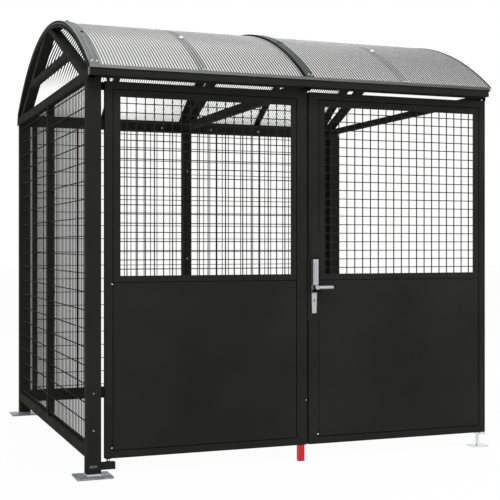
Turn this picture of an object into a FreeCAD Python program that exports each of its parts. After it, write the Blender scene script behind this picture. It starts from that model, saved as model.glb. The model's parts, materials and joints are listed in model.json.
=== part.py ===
"""Bicycle shelter with a barrel-vault roof and a pair of outward-opening front doors.

Frame: +Z up, -Y is the door side, +X to the right when facing the doors.
Origin: on the ground, in the middle of the bounding box. Lengths in mm, angles in degrees.
"""
import os
import re

import FreeCAD
import Part
import Sketcher

SIZES = [
    # main frame
    ("half_width", 1250, "outer frame, half of the width"),
    ("half_depth", 1404, "outer frame, half of the depth"),
    ("post_width", 76, "square posts"),
    ("tube_wall", 3, "wall of every square tube"),
    ("stop_gap", 10, "stop plate on the front left post, behind the leaf"),
    ("stop_width", 34, "stop plate, from the post"),
    ("stop_height", 44, "stop plate"),
    ("eaves", 2132, "top of the posts, underside of the ties"),
    ("plate_side", 190, "base plates"),
    ("plate_thick", 10, "base plates"),
    ("spigot_step", 1.5, "block between base plate and post, inside the post's faces"),
    ("spigot_height", 11, "block between base plate and post"),
    ("bolt_spacing", 140, "ground bolt holes, both ways"),
    ("bolt_hole", 14, "ground bolt holes, diameter"),
    ("slim", 40, "slim square tubes: leaf frames, side wall, front right post"),
    ("roof_short", 86, "roof, gutters and slim post end inside the right face by this"),
    ("slim_post_gap", 10, "slim post behind the leaves"),
    ("screw_plate", 100, "plate of the screw foot"),
    ("screw_plate_thick", 8, "plate of the screw foot"),
    ("screw_rod", 24, "rod of the screw foot, diameter"),
    ("screw_head_low", 79, "underside of the screw foot's head"),
    ("screw_head_top", 85, "top of the screw foot's head"),
    # back wall
    ("beam_depth", 60, "back beams and back upright"),
    ("beam_height", 80, "back beams"),
    ("beam_set_back", 8, "back beams inside the posts' back faces"),
    ("beam_drop", 12, "top back beam reaches below the eaves"),
    ("low_beam_low", 95, "underside of the bottom back beam"),
    ("clip_bar", 34, "bars that hold the back meshes, width"),
    ("clip_bar_gap", 20, "left bar from the post"),
    ("clip_bar_depth", 20, "depth of these bars"),
    # ties, rafters and roof
    ("tie_height", 54, "ties along the bay"),
    ("tie_short", 17, "ties and hoops end inside the sheets' ends by this"),
    ("left_tie_over", 16, "left tie's back end past the sheets' ends"),
    ("mid_tie_left", 38, "left face of the middle tie, left of centre"),
    ("wide_hoop", 60, "hoops over the ties, width"),
    ("narrow_hoop", 40, "hoops between the ties, width"),
    ("hoop_thick", 22, "hoops, radial thickness"),
    ("hoop_two", 648, "left face of the second hoop, left of centre"),
    ("hoop_three", 48, "left face of the middle hoop, left of centre"),
    ("hoop_four", 560, "left face of the fourth hoop"),
    ("sheet_rise", 58.2, "inside of the sheets' ends above the eaves"),
    ("sheet_radius", 2717, "inside of the roof sheets"),
    ("sheet_thick", 10, "roof sheets"),
    ("roof_over", 61, "roof sheets reach past the posts"),
    ("sheet_inset", 3, "left sheet starts inside the frame by this"),
    ("joint_left", 20, "right edge of the left sheet, left of centre"),
    ("joint_gap", 4, "gap between the sheets"),
    ("curve_gap", 0.3, "air between neighbouring curved faces"),
    ("edge_cap_thick", 7.7, "cap on the left roof edge"),
    ("joint_cap_thick", 9.7, "cap on the sheet joint"),
    ("cap_over", 19, "caps reach past the hoops' ends"),
    ("rafter_depth", 36, "rafters, across the slope"),
    ("rafter_pitch", 20, "rafters, degrees"),
    ("rafter_set_back", 238, "rafters meet the ties this far inside the posts' faces"),
    ("collar_rise", 150, "gable collar above the tie"),
    # gutters
    ("gutter_sheet", 3, "front gutter"),
    ("gutter_out", 27, "front gutter past the sheets' ends"),
    ("gutter_rise", 15, "front gutter's floor above the eaves"),
    ("eaves_beam_rise", 14, "beam behind the front gutter above the eaves"),
    ("gutter_height", 51, "front gutter's front wall"),
    ("gutter_short", 33, "front gutter ends inside the roof's right end by this"),
    ("gutter_air", 3, "air between the sheets and the front gutter's back wall"),
    ("lip_out", 8, "grey lip in front of the gutter"),
    ("lip_drop", 12, "grey lip laps over the gutter"),
    ("lip_depth", 12, "top leg of the grey lip"),
    ("lip_thick", 4, "top leg of the grey lip"),
    ("rear_gutter_sheet", 6, "rear gutter"),
    ("rear_gutter_rise", 20, "rear gutter above the top back beam's underside"),
    # welded mesh
    ("wire", 5, "mesh wires"),
    ("wire_pitch", 50, "close pitch of the mesh wires"),
    ("wire_step", 100, "wide pitch of the mesh wires"),
    ("wire_start", 194, "lowest level wire"),
    ("side_rail_low", 108, "underside of the side rail"),
    ("side_rail_height", 57, "side rail"),
    ("wire_inset", 16, "wall upright wires, centre inside the outer faces"),
    ("clip_wire_gap", 42.4, "first upright wire of the left back mesh, from the bar"),
    ("upright_wire_gap", 60, "first upright wire of the right back mesh, from the upright"),
    # door leaves
    ("leaf_low", 96, "underside of the leaves"),
    ("leaf_top_gap", 2, "leaves below the eaves"),
    ("leaf_set_back", 18, "leaves behind the posts' front faces"),
    ("left_leaf_gap", 24, "left leaf from its post"),
    ("left_leaf_end", 1, "right edge of the left leaf, left of centre"),
    ("meet_gap", 12, "gap between the leaves"),
    ("right_leaf_gap", 4, "right leaf inside the roof's right end"),
    ("meet_stile", 60, "meeting stiles"),
    ("groove", 4, "shadow groove around an infill panel"),
    ("seam", 1.5, "half of the groove between the infill panels"),
    ("infill_split", 1044, "joint of lower panel and mesh panel"),
    ("infill_recess", 3, "infill front behind leaf front"),
    ("infill_sheet", 2, "infill sheet"),
    ("tray_depth", 22, "depth of the folded infill tray"),
    ("flange", 3, "flange of the infill tray"),
    ("border_low", 36, "sheet border below the mesh opening"),
    ("border_top", 42, "sheet border above the mesh opening"),
    ("left_border_out", 43, "sheet border of the left leaf, hinge side"),
    ("left_border_in", 37, "sheet border of the left leaf, meeting side"),
    ("right_border_in", 39, "sheet border of the right leaf, meeting side"),
    ("right_border_out", 43, "sheet border of the right leaf, hinge side"),
    ("mesh_tuck", 12, "wires reach this far behind the border"),
    ("left_wire_gap", 35.2, "first upright wire inside the left mesh opening"),
    ("right_wire_gap", 39.5, "first upright wire inside the right mesh opening"),
    ("level_wire_gap", 35.8, "lowest level wire above the mesh opening's edge"),
    # pivots
    ("pin", 16, "pivot pins, diameter"),
    ("pin_air", 0.06, "running clearance of pins and spindle, radial"),
    ("pin_grip", 45, "pin length inside a leaf"),
    ("solid_end", 60, "solid ends of the hinge stiles"),
    ("thrust_pad", 18, "round thrust pads under and over the leaves, diameter"),
    ("arm_height", 38, "left bottom pivot arm"),
    ("arm_gap", 20, "left bottom pivot arm below the leaf"),
    ("arm_length", 79, "left bottom pivot arm, from the post"),
    ("shelf_thick", 12, "right bottom pivot shelf"),
    ("shelf_gap", 4, "right bottom pivot shelf below the leaf"),
    ("shelf_inset", 2, "right bottom pivot shelf inside the leaf's faces"),
    ("bar_gap", 24, "left top pivot bar above the leaf"),
    ("bar_thick", 12, "left top pivot bar"),
    # lock and bolts
    ("cover_thick", 4, "black cover behind the lock"),
    ("cover_width", 74, "black cover"),
    ("cover_lap", 8, "black cover laps over the gap between the leaves"),
    ("cover_below", 197, "black cover below the lever axis"),
    ("cover_above", 168, "black cover above the lever axis"),
    ("lock_thick", 8, "steel lock plate"),
    ("lock_inset", 13, "lock plate inside the right leaf's edge"),
    ("lock_width", 32, "lock plate"),
    ("lock_below", 29, "straight lock plate below the lever axis"),
    ("lock_above", 161, "lock plate above the lever axis"),
    ("case_air", 3, "air between the lever hub and the lock case"),
    ("case_depth", 33, "lock case, from the black cover"),
    ("tail_length", 121, "tapered tail of the lock plate"),
    ("tail_taper", 3, "tail narrows by this at each side"),
    ("key_below", 75, "key boss below the lever axis"),
    ("key_rise", 4, "key boss stands out by this"),
    ("key_boss", 16, "key boss, diameter"),
    ("stud", 7, "raised studs on the lock plate, diameter"),
    ("stud_pitch", 12, "studs, up the plate"),
    ("stud_columns", 13, "between the two stud columns"),
    ("stud_rise", 3, "studs stand out by this"),
    ("studs", 10, "studs in a column"),
    ("lever_z", 1003, "lever axis"),
    ("spindle", 10, "lever spindle, diameter"),
    ("hub", 24, "lever hub, diameter"),
    ("hub_length", 42, "lever hub, to the middle of the bar"),
    ("hub_over", 1, "lever hub past the bar"),
    ("lever_bar", 23, "lever bar, diameter"),
    ("lever_length", 98, "lever bar, from its axis"),
    ("spindle_hole", 14, "clear hole for the spindle"),
    ("latch_wide", 12, "latch bolt, across the leaf"),
    ("latch_high", 20, "latch bolt"),
    ("latch_length", 23, "latch bolt"),
    ("latch_throw", 8, "latch tip in front of the stile"),
    ("latch_air", 0.2, "air around the latch bolt"),
    ("bolt_wide", 36, "drop bolt"),
    ("bolt_inset", 13, "drop bolt inside the left leaf's edge"),
    ("bolt_air", 0.1, "air in front of and behind the drop bolt"),
    ("bolt_low", 2, "tip of the drop bolt"),
    ("bolt_top", 400, "top of the drop bolt"),
    ("knob_z", 308, "knob of the drop bolt"),
    ("knob_shank", 10, "knob shank, diameter"),
    ("knob_head", 24, "knob head, diameter"),
    ("knob_reach", 24, "knob behind the leaf"),
    ("bolt_lift", 90, "travel of the drop bolt"),
    ("knob_air", 1, "air beside the knob shank"),
    ("run_past", 1, "cutting and joining solids run past a face by this"),
]

# places and counts that follow from the sizes
PLACES = {
    "spigot_side": "post_width - 2 * spigot_step",
    "bay_right": "half_width - roof_short",
    "post_in": "half_width - post_width",
    "post_back": "half_depth - post_width",
    "beam_back": "half_depth - beam_set_back",
    "beam_front": "beam_back - beam_depth",
    "top_beam_low": "eaves - beam_drop",
    "clip_bar_left": "post_in - clip_bar_gap",
    "sheet_reach": "half_depth + roof_over",
    "sheet_out": "sheet_radius + sheet_thick",
    "arc_z": "eaves + sheet_rise - sqrt(sheet_radius ^ 2 - sheet_reach ^ 2)",
    "far_out": "2 * sheet_reach",
    "far_up": "arc_z + 2 * sheet_radius",
    "tie_front": "sheet_reach - tie_short",
    "tie_top": "eaves + tie_height",
    "right_tie_top": "eaves + slim",
    "left_tie_back": "sheet_reach + left_tie_over",
    "roof_beam_back": "tie_front - beam_set_back",
    "cap_reach": "tie_front + cap_over",
    "rafter_foot": "half_depth - rafter_set_back",
    "collar_low": "tie_top + collar_rise",
    "gutter_front": "sheet_reach + gutter_out",
    "gutter_low": "eaves + gutter_rise",
    "gutter_top": "gutter_low + gutter_height",
    "gutter_back_top": "arc_z + sqrt(sheet_radius ^ 2 - (tie_front + gutter_sheet) ^ 2) - gutter_air",
    "gutter_right": "bay_right - gutter_short",
    "lip_front": "gutter_front + lip_out",
    "lip_low": "gutter_top - lip_drop",
    "lip_top": "gutter_top + lip_thick",
    "rear_gutter_low": "top_beam_low + rear_gutter_rise",
    "wire_levels": "floor((top_beam_low - wire - wire_start) / wire_step) + 1",
    "side_wires": "floor((post_back - wire) / wire_pitch)",
    "back_wire_depth": "half_depth - wire_inset",
    "back_left_wire": "clip_bar_left - clip_bar - clip_wire_gap",
    "back_left_wires": "floor((back_left_wire - beam_depth / 2 - wire) / wire_pitch) + 1",
    "back_right_wire": "beam_depth / 2 + upright_wire_gap",
    "back_right_wires": "floor((post_in - clip_bar - back_right_wire - wire) / wire_pitch) + 1",
    "leaf_top": "eaves - leaf_top_gap",
    "leaf_front": "half_depth - leaf_set_back",
    "slim_post_front": "leaf_front - slim - slim_post_gap",
    "left_leaf_start": "post_in - left_leaf_gap",
    "right_leaf_start": "meet_gap - left_leaf_end",
    "right_leaf_end": "bay_right - right_leaf_gap",
    "mesh_low": "infill_split + border_low",
    "mesh_top": "leaf_top - slim - border_top",
    "left_mesh_start": "left_leaf_start - slim - left_border_out",
    "left_mesh_end": "left_leaf_end + meet_stile + left_border_in",
    "right_mesh_start": "right_leaf_start + meet_stile + right_border_in",
    "right_mesh_end": "right_leaf_end - slim - right_border_out",
    "left_leaf_wire": "left_mesh_start - left_wire_gap",
    "right_leaf_wire": "right_mesh_start + right_wire_gap",
    "leaf_level_wire": "mesh_low + level_wire_gap",
    "leaf_levels": "floor((mesh_top - leaf_level_wire - wire) / wire_pitch) + 1",
    "arm_top": "leaf_low - arm_gap",
    "arm_low": "arm_top - arm_height",
    "arm_reach": "post_in - arm_length",
    "shelf_top": "leaf_low - shelf_gap",
    "shelf_low": "shelf_top - shelf_thick",
    "bar_low": "leaf_top + bar_gap",
    "lever_x": "lock_left + lock_width / 2",
    "cover_low": "lever_z - cover_below",
    "cover_top": "lever_z + cover_above",
    "lock_left": "right_leaf_start + lock_inset",
    "lock_right": "lock_left + lock_width",
    "lock_low": "lever_z - lock_below",
    "lock_top": "lever_z + lock_above",
    "case_low": "lever_z + hub / 2 + case_air",
    "tail_low": "lock_low - tail_length",
    "key_z": "lever_z - key_below",
    "bolt_left": "left_leaf_end + bolt_inset + bolt_wide",
}

document = FreeCAD.newDocument("BicycleShelter")
sheet = document.addObject("Spreadsheet::Sheet", "sizes")
for row, (alias, value, note) in enumerate(SIZES, start=1):
    sheet.set(f"A{row}", alias)
    sheet.set(f"B{row}", str(value))
    sheet.setAlias(f"B{row}", alias)
    sheet.set(f"C{row}", note)
document.recompute()

SIZE_WORDS = re.compile(r"\b(" + "|".join(alias for alias, _, _ in SIZES) + r")\b")
PLACE_WORDS = re.compile(r"\b(" + "|".join(PLACES) + r")\b")
AROUND = {"x": ((0, 1, 0), 90), "y": ((1, 0, 0), -90), "z": ((0, 0, 1), 0)}
nodes = []


def formula(text):
    """Turn places into their formulas, and size names into references to the sheet."""
    text = str(text)
    while PLACE_WORDS.search(text):
        text = PLACE_WORDS.sub(lambda found: f"({PLACES[found.group()]})", text)
    return SIZE_WORDS.sub(r"sizes.\1", text)


def bind(thing, **formulas):
    """Bind properties to formulas; a double underscore stands for a dot."""
    for path, text in formulas.items():
        thing.setExpression(path.replace("__", "."), formula(text))
    return thing


def place(thing, corner):
    bind(thing, Placement__Base__x=corner[0])
    bind(thing, Placement__Base__y=corner[1])
    bind(thing, Placement__Base__z=corner[2])
    return thing


def turn(thing, axis, angle):
    spin = FreeCAD.Rotation(FreeCAD.Vector(*axis), angle)
    thing.Placement = FreeCAD.Placement(FreeCAD.Vector(0, 0, 0), spin)


def block(name, low, high):
    """Box between two corners; every coordinate is a formula."""
    thing = document.addObject("Part::Box", name)
    bind(thing, Length=f"({high[0]}) - ({low[0]})")
    bind(thing, Width=f"({high[1]}) - ({low[1]})")
    bind(thing, Height=f"({high[2]}) - ({low[2]})")
    return place(thing, low)


def rod(name, start, along, diameter, length):
    """Cylinder from a start point along x, y or z."""
    thing = document.addObject("Part::Cylinder", name)
    turn(thing, *AROUND[along])
    bind(thing, Radius=f"({diameter}) / 2", Height=length)
    return place(thing, start)


def fuse(name, *pieces):
    thing = document.addObject("Part::MultiFuse", name)
    thing.Shapes = list(pieces)
    thing.Refine = True
    return thing


def common(name, *pieces):
    thing = document.addObject("Part::MultiCommon", name)
    thing.Shapes = list(pieces)
    thing.Refine = True
    return thing


def cut(name, body, *tools):
    tool = tools[0]
    if len(tools) > 1:
        tool = document.addObject("Part::Compound", name + "_cutters")
        tool.Links = list(tools)
    thing = document.addObject("Part::Cut", name)
    thing.Base = body
    thing.Tool = tool
    thing.Refine = True
    return thing


def group(name, *pieces):
    thing = document.addObject("Part::Compound", name)
    thing.Links = list(pieces)
    return thing


def mirror_back(name, source):
    """The same piece on the other side of the shelter's middle, front to back."""
    thing = document.addObject("Part::Mirroring", name)
    thing.Source = source
    thing.Normal = FreeCAD.Vector(0, 1, 0)
    return thing


def tube(name, low, high, run):
    """Open square tube along x, y or z."""
    outer = block(name + "_outer", low, high)
    inside_low = []
    inside_high = []
    for axis, start, end in zip("xyz", low, high):
        wall = "0" if axis == run else "tube_wall"
        inside_low.append(f"({start}) + {wall}")
        inside_high.append(f"({end}) - {wall}")
    return cut(name, outer, block(name + "_bore", inside_low, inside_high))


def node(thing):
    nodes.append(thing)
    return thing


def origin_feature(body, role):
    for feature in body.Origin.OriginFeatures:
        if feature.Role == role:
            return feature
    raise LookupError(role)


def row(name, low, high, along, pitch, count):
    """A row of equal wires: one bar, repeated along x, y or z."""
    body = document.addObject("PartDesign::Body", name)
    body.AllowCompound = True
    bar = body.newObject("PartDesign::AdditiveBox", name + "_bar")
    bind(bar, Length=f"({high[0]}) - ({low[0]})")
    bind(bar, Width=f"({high[1]}) - ({low[1]})")
    bind(bar, Height=f"({high[2]}) - ({low[2]})")
    pattern = body.newObject("PartDesign::LinearPattern", name + "_pattern")
    pattern.Originals = [bar]
    pattern.Direction = (origin_feature(body, along.upper() + "_Axis"), [""])
    bind(pattern, Length=f"({pitch}) * (({count}) - 1)", Occurrences=count)
    body.Tip = pattern
    return place(body, low)


# feet


def square_sketch(body, name, side):
    sketch = body.newObject("Sketcher::SketchObject", name)
    sketch.AttachmentSupport = (origin_feature(body, "XY_Plane"), [""])
    sketch.MapMode = "FlatFace"
    corners = [(-1, -1), (1, -1), (1, 1), (-1, 1)]
    for number in range(4):
        start = FreeCAD.Vector(*corners[number], 0) * 50
        end = FreeCAD.Vector(*corners[(number + 1) % 4], 0) * 50
        sketch.addGeometry(Part.LineSegment(start, end), False)
    for number in range(4):
        sketch.addConstraint(Sketcher.Constraint("Coincident", number, 2, (number + 1) % 4, 1))
    sketch.addConstraint(Sketcher.Constraint("Horizontal", 0))
    sketch.addConstraint(Sketcher.Constraint("Horizontal", 2))
    sketch.addConstraint(Sketcher.Constraint("Vertical", 1))
    sketch.addConstraint(Sketcher.Constraint("Vertical", 3))
    sketch.addConstraint(Sketcher.Constraint("Symmetric", 0, 1, 1, 2, -1, 1))
    width = sketch.addConstraint(Sketcher.Constraint("DistanceX", 0, 1, 0, 2, 100))
    depth = sketch.addConstraint(Sketcher.Constraint("DistanceY", 1, 1, 1, 2, 100))
    sketch.renameConstraint(width, "width")
    sketch.renameConstraint(depth, "depth")
    bind(sketch, Constraints__width=side, Constraints__depth=side)
    return sketch


def hole_sketch(body, name):
    sketch = body.newObject("Sketcher::SketchObject", name)
    sketch.AttachmentSupport = (origin_feature(body, "XY_Plane"), [""])
    sketch.MapMode = "FlatFace"
    centre = FreeCAD.Vector(70, 70, 0)
    sketch.addGeometry(Part.Circle(centre, FreeCAD.Vector(0, 0, 1), 7), False)
    across = sketch.addConstraint(Sketcher.Constraint("DistanceX", -1, 1, 0, 3, 70))
    along = sketch.addConstraint(Sketcher.Constraint("DistanceY", -1, 1, 0, 3, 70))
    size = sketch.addConstraint(Sketcher.Constraint("Diameter", 0, 14))
    sketch.renameConstraint(across, "across")
    sketch.renameConstraint(along, "along")
    sketch.renameConstraint(size, "size")
    bind(sketch, Constraints__across="bolt_spacing / 2", Constraints__along="bolt_spacing / 2")
    bind(sketch, Constraints__size="bolt_hole")
    return sketch


def base_foot(name, x, y):
    """Base plate with a bolt hole in each corner and a block that carries the post."""
    body = document.addObject("PartDesign::Body", name)
    plate = body.newObject("PartDesign::Pad", name + "_plate")
    plate.Profile = square_sketch(body, name + "_outline", "plate_side")
    bind(plate, Length="plate_thick")
    hole = body.newObject("PartDesign::Pocket", name + "_hole")
    hole.Profile = hole_sketch(body, name + "_hole_outline")
    hole.Type = "ThroughAll"
    hole.Reversed = True
    corners = body.newObject("PartDesign::PolarPattern", name + "_corners")
    corners.Originals = [hole]
    corners.Axis = (origin_feature(body, "Z_Axis"), [""])
    corners.Angle = 360
    corners.Occurrences = 4
    body.Tip = corners
    spigot = body.newObject("PartDesign::AdditiveBox", name + "_spigot")
    bind(spigot, Length="spigot_side", Width="spigot_side", Height="spigot_height")
    place(spigot, ("-spigot_side / 2", "-spigot_side / 2", "plate_thick"))
    body.Tip = spigot
    return node(place(body, (x, y, "0")))


POST_X = "(half_width - post_width / 2)"
POST_Y = "(half_depth - post_width / 2)"
SCREW_X = "(bay_right - slim / 2)"
SCREW_Y = "(-slim_post_front + slim / 2)"

base_foot("front_left_foot", f"-{POST_X}", f"-{POST_Y}")
base_foot("back_left_foot", f"-{POST_X}", POST_Y)
base_foot("back_right_foot", POST_X, POST_Y)

screw_plate = block(
    "front_right_foot_plate",
    (f"{SCREW_X} - screw_plate / 2", f"{SCREW_Y} - screw_plate / 2", "0"),
    (f"{SCREW_X} + screw_plate / 2", f"{SCREW_Y} + screw_plate / 2", "screw_plate_thick"),
)
screw_rod = rod("front_right_foot_rod", (SCREW_X, SCREW_Y, "0"), "z", "screw_rod", "screw_head_top")
screw_head = block(
    "front_right_foot_head",
    ("bay_right - slim", "-slim_post_front", "screw_head_low"),
    ("bay_right", "-slim_post_front + slim", "screw_head_top"),
)
node(fuse("front_right_foot", screw_plate, screw_rod, screw_head))

# posts

POST_LOW = "plate_thick + spigot_height"


def post(name, x_low, y_low):
    low = (x_low, y_low, POST_LOW)
    high = (f"({x_low}) + post_width", f"({y_low}) + post_width", "eaves")
    return tube(name, low, high, "z")


stop_plate = block(
    "front_left_post_stop",
    ("-post_in", "-leaf_front + slim + stop_gap", "leaf_top - stop_height"),
    ("-post_in + stop_width", "-post_back", "leaf_top"),
)
node(fuse("front_left_post", post("front_left_post_tube", "-half_width", "-half_depth"), stop_plate))
node(post("back_left_post", "-half_width", "half_depth - post_width"))
node(post("back_right_post", "half_width - post_width", "half_depth - post_width"))
node(tube(
    "front_right_post",
    ("bay_right - slim", "-slim_post_front", "screw_head_top"),
    ("bay_right", "-slim_post_front + slim", "eaves"),
    "z",
))

# back wall

TOP_BEAM_TOP = "(top_beam_low + beam_height)"
LOW_BEAM_TOP = "(low_beam_low + beam_height)"

beam_main = block(
    "back_top_beam_main",
    ("-post_in", "beam_front", "top_beam_low"),
    ("post_in", "beam_back", TOP_BEAM_TOP),
)
beam_ends = block(
    "back_top_beam_ends",
    ("-half_width + wide_hoop", "beam_front", "eaves"),
    ("half_width", "roof_beam_back", TOP_BEAM_TOP),
)
beam_bore = block(
    "back_top_beam_bore",
    ("-post_in", "beam_front + tube_wall", "top_beam_low + tube_wall"),
    ("post_in", "beam_back - tube_wall", f"{TOP_BEAM_TOP} - tube_wall"),
)
beam_ends_bore = block(
    "back_top_beam_ends_bore",
    ("-half_width + wide_hoop", "beam_front + tube_wall", "eaves + tube_wall"),
    ("half_width", "roof_beam_back - tube_wall", f"{TOP_BEAM_TOP} - tube_wall"),
)
beam_solid = fuse("back_top_beam_solid", beam_main, beam_ends)
beam_hollow = fuse("back_top_beam_hollow", beam_bore, beam_ends_bore)
node(cut("back_top_beam", beam_solid, beam_hollow))
node(tube(
    "back_bottom_beam",
    ("-post_in", "beam_front", "low_beam_low"),
    ("post_in", "beam_back", LOW_BEAM_TOP),
    "x",
))
node(tube(
    "back_mid_upright",
    ("-beam_depth / 2", "beam_front", LOW_BEAM_TOP),
    ("beam_depth / 2", "beam_back", "top_beam_low"),
    "z",
))

WIRE_BACK = "(back_wire_depth + wire / 2)"


def back_uprights(name, first, count):
    low = (f"{first} - wire / 2", "back_wire_depth - wire / 2", LOW_BEAM_TOP)
    high = (f"{first} + wire / 2", WIRE_BACK, "top_beam_low")
    return row(name, low, high, "x", "wire_pitch", count)


def back_levels(name, x_low, x_high):
    low = (x_low, WIRE_BACK, "wire_start - wire / 2")
    high = (x_high, f"{WIRE_BACK} + wire", "wire_start + wire / 2")
    return row(name, low, high, "z", "wire_step", "wire_levels")


clip_bar = block(
    "back_left_mesh_bar",
    ("-clip_bar_left", f"{WIRE_BACK} - clip_bar_depth", LOW_BEAM_TOP),
    ("-clip_bar_left + clip_bar", WIRE_BACK, "top_beam_low"),
)
node(group(
    "back_left_mesh",
    clip_bar,
    back_uprights("back_left_mesh_uprights", "-back_left_wire", "back_left_wires"),
    back_levels("back_left_mesh_levels", "-clip_bar_left", "-beam_depth / 2"),
))
right_clip_bar = block(
    "back_right_mesh_bar",
    ("post_in - clip_bar", f"{WIRE_BACK} - clip_bar_depth", LOW_BEAM_TOP),
    ("post_in", WIRE_BACK, "top_beam_low"),
)
node(group(
    "back_right_mesh",
    right_clip_bar,
    back_uprights("back_right_mesh_uprights", "back_right_wire", "back_right_wires"),
    back_levels("back_right_mesh_levels", "beam_depth / 2", "post_in"),
))

# left side wall

SIDE_RAIL_TOP = "(side_rail_low + side_rail_height)"
SIDE_WIRE_X = "(-half_width + wire_inset)"

node(tube(
    "side_bottom_rail",
    ("-half_width", "-post_back", "side_rail_low"),
    ("-half_width + slim", "post_back", SIDE_RAIL_TOP),
    "y",
))
node(tube(
    "side_mid_upright",
    ("-half_width", "-slim / 2", SIDE_RAIL_TOP),
    ("-half_width + slim", "slim / 2", "eaves"),
    "z",
))


def side_uprights(name, first):
    low = (f"{SIDE_WIRE_X} - wire / 2", f"{first} - wire / 2", SIDE_RAIL_TOP)
    high = (f"{SIDE_WIRE_X} + wire / 2", f"{first} + wire / 2", "eaves")
    return row(name, low, high, "y", "wire_pitch", "side_wires")


def side_levels(name, y_low, y_high):
    low = (f"{SIDE_WIRE_X} - 1.5 * wire", y_low, "wire_start - wire / 2")
    high = (f"{SIDE_WIRE_X} - wire / 2", y_high, "wire_start + wire / 2")
    return row(name, low, high, "z", "wire_step", "wire_levels")


node(group(
    "side_wall_mesh",
    side_uprights("side_wall_mesh_front_uprights", "-wire_pitch * side_wires"),
    side_uprights("side_wall_mesh_back_uprights", "wire_pitch"),
    side_levels("side_wall_mesh_front_levels", "-post_back", "-slim / 2"),
    side_levels("side_wall_mesh_back_levels", "slim / 2", "post_back"),
))

# ties, gable rafters and collar

HOOP_OUT = "(sheet_radius - curve_gap)"
HOOP_IN = "(sheet_radius - curve_gap - hoop_thick)"
RIGHT_HOOP = "(bay_right - wide_hoop)"


def vault(name, x_low, x_high, radius):
    """Solid cylinder under the roof arc."""
    return rod(name, (x_low, "0", "arc_z"), "x", f"2 * ({radius})", f"({x_high}) - ({x_low})")


def tie(name, x_low, y_low, y_high, top):
    low = (x_low, y_low, "eaves")
    high = (f"({x_low}) + slim", y_high, top)
    return tube(name, low, high, "y")


left_tie_tube = tie("left_tie_tube", "-half_width", "-tie_front", "left_tie_back", "tie_top")
left_tie_limit = vault("left_tie_limit", "-half_width", "-half_width + slim", HOOP_OUT)
node(common("left_tie", left_tie_tube, left_tie_limit))
node(tie("mid_tie", "-mid_tie_left", "-tie_front", "beam_front", "tie_top"))
node(tie("right_tie", "bay_right - slim", "-leaf_front", "beam_front", "right_tie_top"))


def slope_bar(name, x_low, inset):
    """Bar on the rafter slope, long enough to be trimmed at both ends."""
    thing = document.addObject("Part::Box", name)
    turn(thing, (1, 0, 0), 20)
    bind(thing, Placement__Rotation__Angle="rafter_pitch")
    bind(thing, Length=f"wide_hoop - 2 * {inset}", Height=f"rafter_depth - 2 * {inset}")
    bind(thing, Width="rafter_foot / cos(rafter_pitch * 1deg) + 6 * rafter_depth")
    rise = "sin(rafter_pitch * 1deg)"
    run = "cos(rafter_pitch * 1deg)"
    return place(thing, (
        f"({x_low}) + {inset}",
        f"-rafter_foot - 3 * rafter_depth * {run} - {inset} * {rise}",
        f"tie_top - 3 * rafter_depth * {rise} + {inset} * {run}",
    ))


def rafter_pair(side, x_low, foot):
    """Sloping rafter tube between tie and hoop, and its twin at the back."""
    name = f"{side}_front_rafter"
    blank = cut(
        name + "_blank",
        slope_bar(name + "_outer", x_low, "0"),
        slope_bar(name + "_bore", x_low, "tube_wall"),
    )
    x_high = f"({x_low}) + wide_hoop"
    under = vault(name + "_under_roof", x_low, x_high, f"{HOOP_IN} - curve_gap")
    above = block(name + "_above_tie", (x_low, "-far_out", foot), (x_high, "0", "far_up"))
    front = node(common(name, blank, under, above))
    node(mirror_back(f"{side}_back_rafter", front))


rafter_pair("left", "-half_width", "tie_top")
rafter_pair("mid", "-hoop_three", "tie_top")
rafter_pair("right", RIGHT_HOOP, "right_tie_top")


def collar_wedge(name, inset):
    """Bar whose ends follow the lower edges of the rafters."""
    thing = document.addObject("Part::Wedge", name)
    turn(thing, (1, 0, 0), 90)
    low = f"collar_low + {inset}"
    top = f"collar_low + slim - {inset}"
    slope = "tan(rafter_pitch * 1deg)"
    reach_low = f"(rafter_foot - ({low} - tie_top) / {slope})"
    reach_top = f"(rafter_foot - ({top} - tie_top) / {slope})"
    bind(thing, Xmin=f"-half_width + {inset}", Xmax=f"-half_width + slim - {inset}")
    bind(thing, X2min=f"-half_width + {inset}", X2max=f"-half_width + slim - {inset}")
    bind(thing, Ymin=low, Ymax=top)
    bind(thing, Zmin=f"-{reach_low}", Zmax=reach_low)
    bind(thing, Z2min=f"-{reach_top}", Z2max=reach_top)
    return thing


collar_outer = collar_wedge("left_collar_outer", "0")
node(cut("left_collar", collar_outer, collar_wedge("left_collar_bore", "tube_wall")))

# roof hoops, sheets and caps


def ring(name, x_low, x_high, inner, outer):
    solid = vault(name + "_outer", x_low, x_high, outer)
    return cut(name, solid, vault(name + "_inner", x_low, x_high, inner))


def hoop(name, x_low, width, back_low):
    """Bent roof tube: ends at the gutter in front, stands on tie or beam."""
    x_high = f"({x_low}) + {width}"
    solid = ring(name + "_solid", x_low, x_high, HOOP_IN, HOOP_OUT)
    bore = ring(
        name + "_bore",
        f"{x_low} + tube_wall", f"{x_high} - tube_wall",
        f"{HOOP_IN} + tube_wall", f"{HOOP_OUT} - tube_wall",
    )
    full = cut(name + "_ring", solid, bore)
    front = block(name + "_front_space", (x_low, "-tie_front", "tie_top"), (x_high, "0", "far_up"))
    back = block(name + "_back_space", (x_low, "0", back_low), (x_high, "far_out", "far_up"))
    return node(common(name, full, fuse(name + "_space", front, back)))


hoop("hoop_1", "-half_width", "wide_hoop", "tie_top")
hoop("hoop_2", "-hoop_two", "narrow_hoop", TOP_BEAM_TOP)
hoop("hoop_3", "-hoop_three", "wide_hoop", TOP_BEAM_TOP)
hoop("hoop_4", "hoop_four", "narrow_hoop", TOP_BEAM_TOP)
hoop("hoop_5", RIGHT_HOOP, "wide_hoop", TOP_BEAM_TOP)

CAP_IN = "(sheet_out + curve_gap)"


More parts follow.
